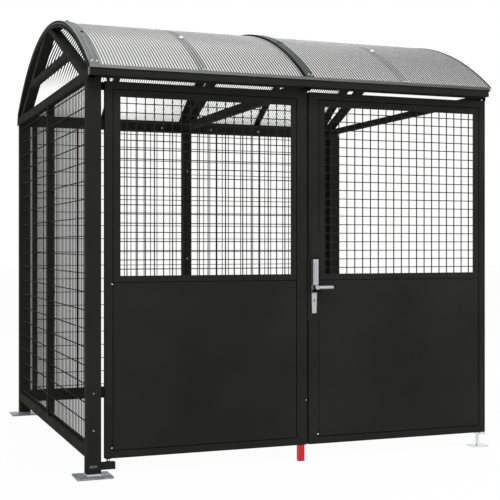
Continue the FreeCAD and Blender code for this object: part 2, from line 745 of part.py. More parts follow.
def roof_skin(name, x_low, x_high, inner, outer, reach):
    full = ring(name + "_ring", x_low, x_high, inner, outer)
    space = block(name + "_space", (x_low, f"-{reach}", "0"), (x_high, reach, "far_up"))
    return node(common(name, full, space))


SHEET_JOINT = "(-joint_left + joint_gap)"
roof_skin(
    "left_roof_sheet", "-half_width + sheet_inset", "-joint_left",
    "sheet_radius", "sheet_out", "sheet_reach",
)
roof_skin("right_roof_sheet", SHEET_JOINT, "bay_right", "sheet_radius", "sheet_out", "sheet_reach")
roof_skin(
    "left_edge_cap", "-half_width", "-half_width + wide_hoop",
    CAP_IN, f"{CAP_IN} + edge_cap_thick", "cap_reach",
)
roof_skin(
    "centre_joint_cap", "-hoop_three", "-hoop_three + wide_hoop",
    CAP_IN, f"{CAP_IN} + joint_cap_thick", "cap_reach",
)

# gutters and lip

gutter_wall = block(
    "front_gutter_wall",
    ("-half_width", "-gutter_front", "gutter_low"),
    ("gutter_right", "-gutter_front + gutter_sheet", "gutter_top"),
)
gutter_floor = block(
    "front_gutter_floor",
    ("-half_width", "-gutter_front", "gutter_low"),
    ("gutter_right", "-tie_front", "gutter_low + gutter_sheet"),
)
gutter_back = block(
    "front_gutter_back",
    ("-half_width", "-tie_front - gutter_sheet", "gutter_low"),
    ("gutter_right", "-tie_front", "gutter_back_top"),
)


def eaves_beam(name, x_low, x_high):
    """Tube between two ties, behind the gutter."""
    low = (x_low, "-tie_front", "eaves + eaves_beam_rise")
    return tube(name, low, (x_high, "-leaf_front", "tie_top"), "x")


node(group(
    "front_gutter",
    fuse("front_gutter_channel", gutter_wall, gutter_floor, gutter_back),
    eaves_beam("front_gutter_left_beam", "-half_width + slim", "-mid_tie_left"),
    eaves_beam("front_gutter_right_beam", "-mid_tie_left + slim", "gutter_right"),
))

lip_face = block(
    "front_lip_face",
    ("-half_width", "-lip_front", "lip_low"),
    ("gutter_right", "-gutter_front", "lip_top"),
)
lip_leg = block(
    "front_lip_leg",
    ("-half_width", "-lip_front", "gutter_top"),
    ("gutter_right", "-lip_front + lip_depth", "lip_top"),
)
node(fuse("front_lip", lip_face, lip_leg))

rear_floor = block(
    "rear_gutter_floor",
    ("-half_width + slim", "roof_beam_back", "rear_gutter_low"),
    ("bay_right", "lip_front", "rear_gutter_low + rear_gutter_sheet"),
)
rear_wall = block(
    "rear_gutter_wall",
    ("-half_width + slim", "lip_front - rear_gutter_sheet", "rear_gutter_low"),
    ("bay_right", "lip_front", "lip_top"),
)
rear_leg = block(
    "rear_gutter_leg",
    ("-half_width + slim", "lip_front - lip_depth", "gutter_top"),
    ("bay_right", "lip_front", "lip_top"),
)
node(fuse("rear_gutter", rear_floor, rear_wall, rear_leg))

# door leaves

LEAF_FRONT = "(-leaf_front)"
LEAF_BACK = "(-leaf_front + slim)"
LEAF_MID = "(-leaf_front + slim / 2)"
LEFT_PIVOT = "(-left_leaf_start + slim / 2)"
RIGHT_PIVOT = "(right_leaf_end - slim / 2)"
INFILL_FRONT = "(-leaf_front + infill_recess)"
INFILL_BACK = f"({INFILL_FRONT} + tray_depth)"
SHEET_BACK = f"({INFILL_FRONT} + infill_sheet)"


def hinge_stile(name, x_low, pivot):
    """Square tube with solid ends, bored for the pivot pins."""
    outer = block(
        name + "_outer",
        (x_low, LEAF_FRONT, "leaf_low"),
        (f"{x_low} + slim", LEAF_BACK, "leaf_top"),
    )
    bore = block(
        name + "_bore",
        (f"{x_low} + tube_wall", f"{LEAF_FRONT} + tube_wall", "leaf_low + solid_end"),
        (f"{x_low} + slim - tube_wall", f"{LEAF_BACK} - tube_wall", "leaf_top - solid_end"),
    )
    hole = "pin + 2 * pin_air"
    low_hole = rod(name + "_low_hole", (pivot, LEAF_MID, "leaf_low"), "z", hole, "pin_grip + run_past")
    top_start = (pivot, LEAF_MID, "leaf_top - pin_grip - run_past")
    top_hole = rod(name + "_top_hole", top_start, "z", hole, "pin_grip + run_past")
    return node(cut(name, outer, bore, low_hole, top_hole))


def leaf_rail(name, x_low, x_high, z_low):
    low = (x_low, LEAF_FRONT, z_low)
    high = (x_high, LEAF_BACK, f"({z_low}) + slim")
    return node(tube(name, low, high, "x"))


def tray(name, x_low, x_high, z_low, z_high, gap_low, gap_top):
    """Folded infill: front sheet, returns and a flange that meets the leaf frame."""
    front = block(
        name + "_front",
        (f"{x_low} + groove", INFILL_FRONT, f"{z_low} + {gap_low}"),
        (f"{x_high} - groove", INFILL_BACK, f"{z_high} - {gap_top}"),
    )
    rim = block(
        name + "_rim",
        (x_low, f"{INFILL_BACK} - flange", z_low),
        (x_high, INFILL_BACK, z_high),
    )
    hollow = block(
        name + "_hollow",
        (f"{x_low} + groove + infill_sheet", SHEET_BACK, f"{z_low} + {gap_low} + infill_sheet"),
        (f"{x_high} - groove - infill_sheet", INFILL_BACK, f"{z_high} - {gap_top} - infill_sheet"),
    )
    return fuse(name + "_solid", front, rim), hollow


def leaf(side, x_low, x_high, opening_low, opening_high, first_wire):
    """Rails, lower panel and mesh panel between the two stiles of a leaf."""
    leaf_rail(f"{side}_door_top_rail", x_low, x_high, "leaf_top - slim")
    leaf_rail(f"{side}_door_bottom_rail", x_low, x_high, "leaf_low")
    panel = f"{side}_door_lower_panel"
    solid, hollow = tray(panel, x_low, x_high, "leaf_low + slim", "infill_split", "groove", "seam")
    node(cut(panel, solid, hollow))
    panel = f"{side}_door_mesh_panel"
    solid, hollow = tray(panel, x_low, x_high, "infill_split", "leaf_top - slim", "seam", "groove")
    opening = block(
        panel + "_opening",
        (opening_low, INFILL_FRONT, "mesh_low"),
        (opening_high, SHEET_BACK, "mesh_top"),
    )
    border = cut(panel + "_border", solid, hollow, opening)
    uprights = row(
        panel + "_uprights",
        (f"{first_wire} - wire / 2", SHEET_BACK, "mesh_low - mesh_tuck"),
        (f"{first_wire} + wire / 2", f"{SHEET_BACK} + wire", "mesh_top + mesh_tuck"),
        "x", "wire_pitch", f"floor(({opening_high} - ({first_wire}) - wire) / wire_pitch) + 1",
    )
    levels = row(
        panel + "_levels",
        (f"{opening_low} - mesh_tuck", f"{SHEET_BACK} + wire", "leaf_level_wire - wire / 2"),
        (f"{opening_high} + mesh_tuck", f"{SHEET_BACK} + 2 * wire", "leaf_level_wire + wire / 2"),
        "z", "wire_pitch", "leaf_levels",
    )
    node(group(panel, border, uprights, levels))


hinge_stile("left_door_hinge_stile", "-left_leaf_start", LEFT_PIVOT)
leaf(
    "left", "-left_leaf_start + slim", "-left_leaf_end - meet_stile",
    "-left_mesh_start", "-left_mesh_end", "-left_leaf_wire",
)
BOLT_MID = "(-bolt_left + bolt_wide / 2)"
left_meeting_tube = tube(
    "left_door_meeting_stile_tube",
    ("-left_leaf_end - meet_stile", LEAF_FRONT, "leaf_low"),
    ("-left_leaf_end", LEAF_BACK, "leaf_top"),
    "z",
)
knob_slot = block(
    "left_door_meeting_stile_slot",
    (f"{BOLT_MID} - knob_shank / 2 - knob_air", f"{LEAF_BACK} - 2 * tube_wall", "knob_z - knob_shank"),
    (f"{BOLT_MID} + knob_shank / 2 + knob_air", f"{LEAF_BACK} + tube_wall", "knob_z + bolt_lift + knob_shank"),
)
node(cut("left_door_meeting_stile", left_meeting_tube, knob_slot))

bolt_bar = block(
    "drop_bolt_bar",
    ("-bolt_left", f"{LEAF_FRONT} + tube_wall + bolt_air", "bolt_low"),
    ("-bolt_left + bolt_wide", f"{LEAF_BACK} - tube_wall - bolt_air", "bolt_top"),
)
shank_start = (BOLT_MID, LEAF_MID, "knob_z")
knob_shank = rod("drop_bolt_shank", shank_start, "y", "knob_shank", "slim / 2 + knob_reach")
knob_start = (BOLT_MID, f"{LEAF_BACK} + knob_reach / 2", "knob_z")
knob_head = rod("drop_bolt_head", knob_start, "y", "knob_head", "knob_reach / 2")
node(fuse("drop_bolt", bolt_bar, knob_shank, knob_head))

hinge_stile("right_door_hinge_stile", "right_leaf_end - slim", RIGHT_PIVOT)
leaf(
    "right", "right_leaf_start + meet_stile", "right_leaf_end - slim",
    "right_mesh_start", "right_mesh_end", "right_leaf_wire",
)
right_meeting_tube = tube(
    "right_door_meeting_stile_tube",
    ("right_leaf_start", LEAF_FRONT, "leaf_low"),
    ("right_leaf_start + meet_stile", LEAF_BACK, "leaf_top"),
    "z",
)
front_hole_start = ("lever_x", f"{LEAF_FRONT} - tube_wall", "lever_z")
front_hole = rod("right_meeting_front_hole", front_hole_start, "y", "spindle_hole", "3 * tube_wall")
RUNNING_HOLE = "spindle + 2 * pin_air"
back_hole_start = ("lever_x", f"{LEAF_BACK} - 2 * tube_wall", "lever_z")
back_hole = rod("right_meeting_back_hole", back_hole_start, "y", RUNNING_HOLE, "3 * tube_wall")
latch_slot = block(
    "right_door_meeting_stile_latch_slot",
    (
        "right_leaf_start - tube_wall",
        f"{LEAF_MID} - latch_wide / 2 - latch_air",
        "lever_z - latch_high / 2 - latch_air",
    ),
    (
        "right_leaf_start + 2 * tube_wall",
        f"{LEAF_MID} + latch_wide / 2 + latch_air",
        "lever_z + latch_high / 2 + latch_air",
    ),
)
node(cut("right_door_meeting_stile", right_meeting_tube, front_hole, back_hole, latch_slot))

# pivots between frame and leaves


def thrust_pad(name, pivot, z_low, z_high):
    return rod(name, (pivot, LEAF_MID, z_low), "z", "thrust_pad", f"({z_high}) - ({z_low})")


arm = block(
    "left_bottom_pivot_arm",
    ("-post_in", LEAF_FRONT, "arm_low"),
    ("-arm_reach", LEAF_BACK, "arm_top"),
)
LOW_PAD_TOP = "(leaf_low - curve_gap)"
LOW_PIN_TOP = "(leaf_low + pin_grip)"
arm_pad = thrust_pad("left_bottom_pivot_pad", LEFT_PIVOT, "arm_top", LOW_PAD_TOP)
arm_pin = rod("left_bottom_pivot_pin", (LEFT_PIVOT, LEAF_MID, "arm_top - run_past"), "z", "pin",
              f"{LOW_PIN_TOP} - arm_top + run_past")
node(fuse("left_bottom_pivot", arm, arm_pad, arm_pin))

shelf = block(
    "right_bottom_pivot_shelf",
    ("right_leaf_end - slim + shelf_inset", f"{LEAF_FRONT} + shelf_inset", "shelf_low"),
    ("bay_right", "-slim_post_front", "shelf_top"),
)
shelf_pad = thrust_pad("right_bottom_pivot_pad", RIGHT_PIVOT, "shelf_top", LOW_PAD_TOP)
shelf_pin = rod("right_bottom_pivot_pin", (RIGHT_PIVOT, LEAF_MID, "shelf_top - run_past"), "z", "pin",
                f"{LOW_PIN_TOP} - shelf_top + run_past")
node(fuse("right_bottom_pivot", shelf, shelf_pad, shelf_pin))

TOP_PIN_LOW = "(leaf_top - pin_grip)"
bar = block(
    "left_top_pivot_bar",
    ("-half_width + slim", LEAF_FRONT, "bar_low"),
    (f"{LEFT_PIVOT} + slim / 2", LEAF_BACK, "bar_low + bar_thick"),
)
bar_pin = rod("left_top_pivot_pin", (LEFT_PIVOT, LEAF_MID, TOP_PIN_LOW), "z", "pin",
              f"bar_low + run_past - {TOP_PIN_LOW}")
node(fuse("left_top_pivot", bar, bar_pin))

top_pad = thrust_pad("right_top_pivot_pad", RIGHT_PIVOT, "leaf_top + curve_gap", "eaves")
top_pin = rod("right_top_pivot_pin", (RIGHT_PIVOT, LEAF_MID, TOP_PIN_LOW), "z", "pin",
              f"eaves - {TOP_PIN_LOW}")
node(fuse("right_top_pivot", top_pad, top_pin))

# lock on the right meeting stile

COVER_FRONT = f"({LEAF_FRONT} - cover_thick)"
LOCK_FRONT = f"({COVER_FRONT} - lock_thick)"
CASE_FRONT = f"({COVER_FRONT} - case_depth)"

cover_blank = block(
    "lock_cover_blank",
    ("right_leaf_start - cover_lap", COVER_FRONT, "cover_low"),
    ("right_leaf_start - cover_lap + cover_width", LEAF_FRONT, "cover_top"),
)
cover_hole = rod("lock_cover_hole", ("lever_x", f"{COVER_FRONT} - run_past", "lever_z"), "y", "spindle_hole",
                 "cover_thick + 2 * run_past")
node(cut("lock_cover", cover_blank, cover_hole))

lock_body = block(
    "lock_plate_body",
    ("lock_left", LOCK_FRONT, "lock_low"),
    ("lock_right", COVER_FRONT, "lock_top"),
)
lock_tail = document.addObject("Part::Wedge", "lock_plate_tail")
turn(lock_tail, (1, 0, 0), 90)
bind(lock_tail, Ymin="tail_low", Ymax="lock_low")
bind(lock_tail, Xmin="lock_left + tail_taper", Xmax="lock_right - tail_taper")
bind(lock_tail, X2min="lock_left", X2max="lock_right")
bind(lock_tail, Zmin=f"-{COVER_FRONT}", Zmax=f"-{LOCK_FRONT}")
bind(lock_tail, Z2min=f"-{COVER_FRONT}", Z2max=f"-{LOCK_FRONT}")
lock_case = block(
    "lock_plate_case",
    ("lock_left", CASE_FRONT, "case_low"),
    ("lock_right", COVER_FRONT, "lock_top"),
)
key_start = ("lever_x", f"{LOCK_FRONT} - key_rise", "key_z")
key_boss = rod("lock_plate_key_boss", key_start, "y", "key_boss", "key_rise + run_past")

studs = document.addObject("PartDesign::Body", "lock_plate_studs")
studs.AllowCompound = True
first_stud = studs.newObject("PartDesign::AdditivePrism", "lock_plate_stud")
turn(first_stud, *AROUND["y"])
first_stud.Polygon = 8
bind(first_stud, Circumradius="stud / 2", Height="stud_rise + run_past")
stud_grid = studs.newObject("PartDesign::LinearPattern", "lock_plate_stud_grid")
stud_grid.Originals = [first_stud]
stud_grid.Direction = (origin_feature(studs, "Z_Axis"), [""])
stud_grid.Direction2 = (origin_feature(studs, "X_Axis"), [""])
bind(stud_grid, Length="stud_pitch * (studs - 1)", Occurrences="studs", Length2="stud_columns")
stud_grid.Occurrences2 = 2
studs.Tip = stud_grid
place(studs, (
    f"lever_x - stud_columns / 2",
    f"{CASE_FRONT} - stud_rise",
    "(lock_top + case_low) / 2 - stud_pitch * (studs - 1) / 2",
))

lock_solid = fuse("lock_plate_solid", lock_body, lock_case, lock_tail, key_boss, studs)
lock_hole_start = ("lever_x", f"{LOCK_FRONT} - run_past", "lever_z")
lock_hole = rod("lock_plate_hole", lock_hole_start, "y", RUNNING_HOLE, "lock_thick + 2 * run_past")
node(cut("lock_plate", lock_solid, lock_hole))

OUTER_HUB_BACK = f"({LOCK_FRONT} - curve_gap)"
OUTER_BAR = f"({OUTER_HUB_BACK} - hub_length)"
INNER_HUB_FRONT = f"({LEAF_BACK} + curve_gap)"
INNER_BAR = f"({INNER_HUB_FRONT} + hub_length)"
spindle = rod("lever_handle_spindle", ("lever_x", f"{OUTER_HUB_BACK} - run_past", "lever_z"), "y", "spindle",
              f"{INNER_HUB_FRONT} - {OUTER_HUB_BACK} + 2 * run_past")
HUB_FULL = "(hub_length + lever_bar / 2 + hub_over)"
outer_hub_start = ("lever_x", f"{OUTER_HUB_BACK} - {HUB_FULL}", "lever_z")
outer_hub = rod("lever_handle_outer_hub", outer_hub_start, "y", "hub", HUB_FULL)
outer_bar = rod("lever_handle_outer_bar", ("lever_x", OUTER_BAR, "lever_z"), "x", "lever_bar", "lever_length")
inner_hub = rod("lever_handle_inner_hub", ("lever_x", INNER_HUB_FRONT, "lever_z"), "y", "hub", HUB_FULL)
inner_bar = rod("lever_handle_inner_bar", ("lever_x", INNER_BAR, "lever_z"), "x", "lever_bar", "lever_length")
node(fuse("lever_handle", spindle, outer_hub, outer_bar, inner_hub, inner_bar))

node(block(
    "latch_bolt",
    ("right_leaf_start - latch_throw", f"{LEAF_MID} - latch_wide / 2", "lever_z - latch_high / 2"),
    (
        "right_leaf_start - latch_throw + latch_length",
        f"{LEAF_MID} + latch_wide / 2",
        "lever_z + latch_high / 2",
    ),
))

document.recompute()

for thing in document.Objects:
    faults = [state for state in thing.State if state in ("Invalid", "Error", "RecomputeError")]
    if faults:
        raise RuntimeError(f"{thing.Name}: {faults}")

os.makedirs("parts", exist_ok=True)
for thing in nodes:
    thing.Label = thing.Name
    shape = thing.Shape
    if shape.isNull() or not shape.isValid() or not shape.Solids:
        raise RuntimeError(f"{thing.Name}: no sound solid")
    shape.exportStep(os.path.join("parts", thing.Name + ".step"))
    box = shape.BoundBox
    print(
        f"{thing.Name}: {len(shape.Solids)} solid(s), "
        f"x {box.XMin:.1f} to {box.XMax:.1f}, y {box.YMin:.1f} to {box.YMax:.1f}, "
        f"z {box.ZMin:.1f} to {box.ZMax:.1f}"
    )
print(len(nodes), "parts")
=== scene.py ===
import json
import math

import bpy
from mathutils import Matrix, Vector


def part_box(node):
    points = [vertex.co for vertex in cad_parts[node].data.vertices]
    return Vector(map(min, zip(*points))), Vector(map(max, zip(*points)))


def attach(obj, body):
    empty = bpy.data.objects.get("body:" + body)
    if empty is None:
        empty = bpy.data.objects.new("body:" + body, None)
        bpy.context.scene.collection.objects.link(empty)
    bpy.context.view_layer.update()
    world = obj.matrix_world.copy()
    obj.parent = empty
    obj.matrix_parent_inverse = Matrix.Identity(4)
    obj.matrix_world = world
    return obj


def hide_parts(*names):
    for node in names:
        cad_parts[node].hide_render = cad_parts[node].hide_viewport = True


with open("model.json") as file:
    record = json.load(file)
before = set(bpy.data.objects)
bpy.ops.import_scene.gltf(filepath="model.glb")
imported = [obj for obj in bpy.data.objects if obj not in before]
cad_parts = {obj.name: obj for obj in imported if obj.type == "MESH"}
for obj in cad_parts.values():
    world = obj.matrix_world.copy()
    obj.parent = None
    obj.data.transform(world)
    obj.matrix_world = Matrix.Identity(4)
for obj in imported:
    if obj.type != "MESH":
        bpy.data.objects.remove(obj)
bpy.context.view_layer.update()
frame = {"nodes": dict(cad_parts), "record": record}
nodes = frame["nodes"]

# the roof's arc, in metres: sheets and caps share one centre line along x
SHEET_OUTER_RADIUS = 2.727
SHEET_THICKNESS = 0.010
SHEET_INNER_RADIUS = SHEET_OUTER_RADIUS - SHEET_THICKNESS
ARC_CENTRE_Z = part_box("left_roof_sheet")[1].z - SHEET_OUTER_RADIUS
EDGE_CAP_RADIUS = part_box("left_edge_cap")[1].z - ARC_CENTRE_Z
JOINT_CAP_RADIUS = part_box("centre_joint_cap")[1].z - ARC_CENTRE_Z
FLUTE_PITCH = 0.0165

# where the roof's tone and its painted light and shade change: stretches of x, y and z
RIGHT_SHADE_X = (-1.1, 1.16)
RIDGE_TONE_X = (-0.45, 0.70)
RIDGE_TONE_Z = (2.41, 2.53)
FLUTE_FADE_X = (-1.1, 0.6)
FLUTE_FADE_Z = (2.44, 2.56)
HOOP_FADE_Z = (2.53, 2.60)
DAYLIGHT_X = (-0.6, 0.1)
DAYLIGHT_Y = (0.83, 1.19)

# the bands over two hoops: the x of each with its share of light left, and the soft edge either side
HOOP_BANDS = ((-0.628, 0.62), (0.587, 0.79))
HOOP_BAND_EDGE = (0.026, 0.032)

# stretches of the flutes' cosine over which a skin goes from web to channel
UPPER_WAVE = (-0.35, 0.30)
LOWER_WAVE = (0.0, 0.42)

# stretches of a factor: all of it, and where most values of a noise lie
WHOLE = (0.0, 1.0)
CLOUD = (0.3, 0.7)


# materials


def material(name):
    """New node material: returns it with its node tree and its main shader."""
    made = bpy.data.materials.new(name)
    made.use_nodes = True
    tree = made.node_tree
    shader = tree.nodes["Principled BSDF"]
    return made, tree, shader


def coordinates(tree):
    """Places on the piece, in metres."""
    return tree.nodes.new("ShaderNodeTexCoord").outputs["Object"]


def along(tree, place, axis):
    """One coordinate of a place."""
    split = tree.nodes.new("ShaderNodeSeparateXYZ")
    tree.links.new(place, split.inputs["Vector"])
    return split.outputs[axis]


def noise(tree, place, scale, detail=3.0):
    """Cloudy factor."""
    node = tree.nodes.new("ShaderNodeTexNoise")
    node.inputs["Scale"].default_value = scale
    node.inputs["Detail"].default_value = detail
    tree.links.new(place, node.inputs["Vector"])
    return node.outputs["Fac"]


def between(tree, factor, low, high, over=WHOLE):
    """Map a stretch of a factor to numbers from low to high."""
    node = tree.nodes.new("ShaderNodeMapRange")
    node.inputs["From Min"].default_value = over[0]
    node.inputs["From Max"].default_value = over[1]
    node.inputs["To Min"].default_value = low
    node.inputs["To Max"].default_value = high
    tree.links.new(factor, node.inputs["Value"])
    return node.outputs["Result"]


def shade(tree, factor, dark, light, over=WHOLE):
    """Map a stretch of a factor to colours from dark to light."""
    ramp = tree.nodes.new("ShaderNodeValToRGB")
    for element, position, colour in zip(ramp.color_ramp.elements, over, (dark, light)):
        element.position = position
        element.color = (*colour, 1.0)
    tree.links.new(factor, ramp.inputs["Fac"])
    return ramp.outputs["Color"]


def arithmetic(tree, operation, first, second=None):
    """One step of arithmetic: each input is a socket or a number."""
    node = tree.nodes.new("ShaderNodeMath")
    node.operation = operation
    for index, value in enumerate((first, second)):
        if isinstance(value, float):
            node.inputs[index].default_value = value
        elif value is not None:
            tree.links.new(value, node.inputs[index])
    return node.outputs["Value"]


def neutral(tree, value):
    """Grey of a given brightness."""
    colour = tree.nodes.new("ShaderNodeCombineColor")
    for channel in ("Red", "Green", "Blue"):
        tree.links.new(value, colour.inputs[channel])
    return colour.outputs["Color"]


def coat(tree, shader, colour, rough):
    """Drive the shader's colour and roughness."""
    tree.links.new(colour, shader.inputs["Base Color"])
    tree.links.new(rough, shader.inputs["Roughness"])


def bump(tree, shader, height, strength, distance):
    """Fine relief, distance metres deep."""
    node = tree.nodes.new("ShaderNodeBump")
    node.inputs["Strength"].default_value = strength
    node.inputs["Distance"].default_value = distance
    tree.links.new(height, node.inputs["Height"])
    tree.links.new(node.outputs["Normal"], shader.inputs["Normal"])


def painted(name, dark, light, rough, specular):
    """Powder coat: faint cloudiness, fine orange peel and uneven gloss."""
    made, tree, shader = material(name)
    place = coordinates(tree)
    colour = shade(tree, noise(tree, place, scale=2.3), dark, light, CLOUD)
    gloss = between(tree, noise(tree, place, scale=9.0), rough - 0.06, rough + 0.08, CLOUD)
    coat(tree, shader, colour, gloss)
    shader.inputs["Specular IOR Level"].default_value = specular
    bump(tree, shader, noise(tree, place, scale=700.0, detail=1.0), strength=0.12, distance=0.0004)
    return made


def metal(name, dark, light, rough, grain):
    """Bare metal with a fine grain, drawn out along each axis whose scale in grain is small."""
    made, tree, shader = material(name)
    stretch = tree.nodes.new("ShaderNodeMapping")
    stretch.inputs["Scale"].default_value = grain
    tree.links.new(coordinates(tree), stretch.inputs["Vector"])
    lines = noise(tree, stretch.outputs["Vector"], scale=60.0, detail=2.0)
    colour = shade(tree, lines, dark, light, CLOUD)
    coat(tree, shader, colour, between(tree, lines, rough - 0.07, rough + 0.07, CLOUD))
    shader.inputs["Metallic"].default_value = 1.0
    bump(tree, shader, lines, strength=0.08, distance=0.0003)
    return made


def spangled(name, dark, light):
    """Hot-dip zinc: crystal flakes of slightly different grey."""
    made, tree, shader = material(name)
    place = coordinates(tree)
    flakes = tree.nodes.new("ShaderNodeTexVoronoi")
    flakes.inputs["Scale"].default_value = 55.0
    tree.links.new(place, flakes.inputs["Vector"])
    split = tree.nodes.new("ShaderNodeSeparateColor")
    tree.links.new(flakes.outputs["Color"], split.inputs["Color"])
    flake = split.outputs["Red"]
    coat(tree, shader, shade(tree, flake, dark, light), between(tree, flake, 0.38, 0.58))
    shader.inputs["Metallic"].default_value = 0.55
    bump(tree, shader, noise(tree, place, scale=160.0), strength=0.15, distance=0.0006)
    return made


def shaded_to_right(tree, place, value, least):
    """Painted shade: the value falls to a share of itself at the right end of the roof, away from the
    light at the left.
    """
    share = between(tree, along(tree, place, "X"), 1.0, least, RIGHT_SHADE_X)
    return arithmetic(tree, "MULTIPLY", value, share)


def weathered_and_shaded(name, dark, light, least):
    """Bare grey metal with a cloudy weathered tone, and painted shade that makes it duller to the right.
    """
    made, tree, shader = material(name)
    place = coordinates(tree)
    cloud = noise(tree, place, scale=8.0)
    grey = shaded_to_right(tree, place, between(tree, cloud, dark, light, CLOUD), least)
    coat(tree, shader, neutral(tree, grey), between(tree, cloud, 0.50, 0.65))
    shader.inputs["Specular IOR Level"].default_value = 0.1
    return made


def left_side_shade(tree, place, node, side, least):
    """Painted shade mask: one over a node, falling to least on the strip of width side at its left."""
    fold = 0.002
    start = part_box(node)[0].x + side
    return between(tree, along(tree, place, "X"), least, 1.0, (start, start + fold))


def capped(name, node, side, dark, light):
    """Folded cover strip: weathered grey on top, with painted shade that makes its left side dark."""
    made, tree, shader = material(name)
    place = coordinates(tree)
    dust = noise(tree, place, scale=14.0)
    top = left_side_shade(tree, place, node, side, least=0.0)
    grain = arithmetic(tree, "MULTIPLY", top, between(tree, dust, 0.8, 1.0, CLOUD))
    coat(tree, shader, shade(tree, grain, dark, light), between(tree, dust, 0.5, 0.7))
    shader.inputs["Specular IOR Level"].default_value = 0.02
    return made


def sided_steel(name, node, side, dark, light):
    """Satin steel, with painted shade that makes its left side duller."""
    made, tree, shader = material(name)
    place = coordinates(tree)
    cloud = noise(tree, place, scale=60.0, detail=2.0)
    front = left_side_shade(tree, place, node, side, least=0.35)
    tone = arithmetic(tree, "MULTIPLY", front, between(tree, cloud, 0.8, 1.0, CLOUD))
    coat(tree, shader, shade(tree, tone, dark, light), between(tree, cloud, 0.40, 0.30, CLOUD))
    shader.inputs["Metallic"].default_value = 0.55
    return made


def stripes(tree, place, wave):
    """Zero over the webs of the roof sheet, one over the middle of its channels."""
    turns = arithmetic(tree, "MULTIPLY", along(tree, place, "X"), 2.0 * math.pi / FLUTE_PITCH)
    return between(tree, arithmetic(tree, "COSINE", turns), 0.0, 1.0, wave)


def softened(tree, band, keep):
    """Bands drawn towards an even half tone: keep is the share of contrast left."""
    swing = arithmetic(tree, "MULTIPLY", arithmetic(tree, "SUBTRACT", band, 0.5), keep)
    return arithmetic(tree, "ADD", swing, 0.5)


def hoop_light(tree, place):
    """Share of the light that the hoops leave: less over a hoop, nearly all of it at the ridge."""
    free = 1.0
    for x, least in HOOP_BANDS:
        away = arithmetic(tree, "ABSOLUTE", arithmetic(tree, "SUBTRACT", along(tree, place, "X"), x))
        free = arithmetic(tree, "MULTIPLY", between(tree, away, least, 1.0, HOOP_BAND_EDGE), free)
    below_ridge = between(tree, along(tree, place, "Z"), 1.0, 0.2, HOOP_FADE_Z)
    hidden = arithmetic(tree, "MULTIPLY", arithmetic(tree, "SUBTRACT", 1.0, free), below_ridge)
    return arithmetic(tree, "SUBTRACT", 1.0, hidden)


def ridge_tone(tree, place):
    """Tone along the ridge: darker at the left end of the roof, paler at the right."""
    near = between(tree, along(tree, place, "Z"), 0.0, 1.0, RIDGE_TONE_Z)
    change = between(tree, along(tree, place, "X"), -0.42, 0.25, RIDGE_TONE_X)
    return arithmetic(tree, "ADD", arithmetic(tree, "MULTIPLY", near, change), 1.0)


def upper_plastic(name):
    """Upper skin of the roof sheet, with painted light: pale bands over its channels as if lit through,
    fainter at the ridge and to the left, painted hoop shadows and painted shade to the right.
    """
    made, tree, shader = material(name)
    place = coordinates(tree)
    ridge_fade = between(tree, along(tree, place, "Z"), 1.0, 0.2, FLUTE_FADE_Z)
    end_fade = between(tree, along(tree, place, "X"), 0.72, 1.30, FLUTE_FADE_X)
    keep = arithmetic(tree, "MULTIPLY", ridge_fade, end_fade)
    band = softened(tree, stripes(tree, place, UPPER_WAVE), keep)
    grey = between(tree, band, 0.06, 0.71)
    ridge_toned = arithmetic(tree, "MULTIPLY", grey, ridge_tone(tree, place))
    shaded = arithmetic(tree, "MULTIPLY", ridge_toned, hoop_light(tree, place))
    colour = neutral(tree, shaded_to_right(tree, place, shaded, least=0.57))
    coat(tree, shader, colour, between(tree, noise(tree, place, scale=6.0), 0.45, 0.60))
    shader.inputs["Specular IOR Level"].default_value = 0.02
    return made


def lower_plastic(name):
    """Lower skin of the roof sheet, made to glow with painted daylight for the light that comes through:
    palest at the back left.
    """
    made, tree, shader = material(name)
    place = coordinates(tree)
    back = between(tree, along(tree, place, "Y"), 0.0, 0.80, DAYLIGHT_Y)
    left = between(tree, along(tree, place, "X"), 1.0, 0.30, DAYLIGHT_X)
    web_daylight = arithmetic(tree, "MULTIPLY", back, left)
    channel = arithmetic(tree, "MULTIPLY", stripes(tree, place, LOWER_WAVE), 0.95)
    colour = neutral(tree, arithmetic(tree, "MAXIMUM", channel, web_daylight))
    coat(tree, shader, colour, between(tree, noise(tree, place, scale=6.0), 0.60, 0.75))
    shader.inputs["Specular IOR Level"].default_value = 0.02
    # painted glow: the skin gives off its colour as light
    tree.links.new(colour, shader.inputs["Emission Color"])
    shader.inputs["Emission Strength"].default_value = 0.90
    return made


# black of the painted shade on the cover strips' left sides
SIDE_SHADE_BLACK = (0.006, 0.006, 0.006)
EVEN_GRAIN = (1.0, 1.0, 1.0)
DRAWN_GRAIN = (0.05, 1.0, 0.05)
black = painted("black_powder_coat", (0.0125, 0.0125, 0.0115), (0.017, 0.017, 0.016), 0.70, 0.02)
red = painted("red_gloss_coat", (0.42, 0.008, 0.013), (0.52, 0.011, 0.018), 0.40, 0.2)
# lighter grey of the beads, a painted highlight where they catch the light
bead_highlight_grey = painted("edge_bead_painted_highlight", (0.21, 0.215, 0.215), (0.25, 0.255, 0.255), 0.55, 0.05)
# pale zinc brightened by a painted reflection, for the spigot's faces
pale_zinc_painted_reflection = painted("pale_zinc_painted_reflection", (0.50, 0.505, 0.51), (0.58, 0.585, 0.59), 0.50, 0.1)
steel = metal("satin_steel", (0.33, 0.335, 0.34), (0.45, 0.455, 0.46), 0.30, DRAWN_GRAIN)
dull_steel = metal("dull_steel", (0.085, 0.088, 0.09), (0.13, 0.133, 0.135), 0.45, EVEN_GRAIN)
bright = metal("bright_zinc", (0.60, 0.61, 0.62), (0.78, 0.79, 0.80), 0.25, EVEN_GRAIN)
zinc = spangled("galvanised_steel", (0.16, 0.165, 0.17), (0.30, 0.305, 0.31))
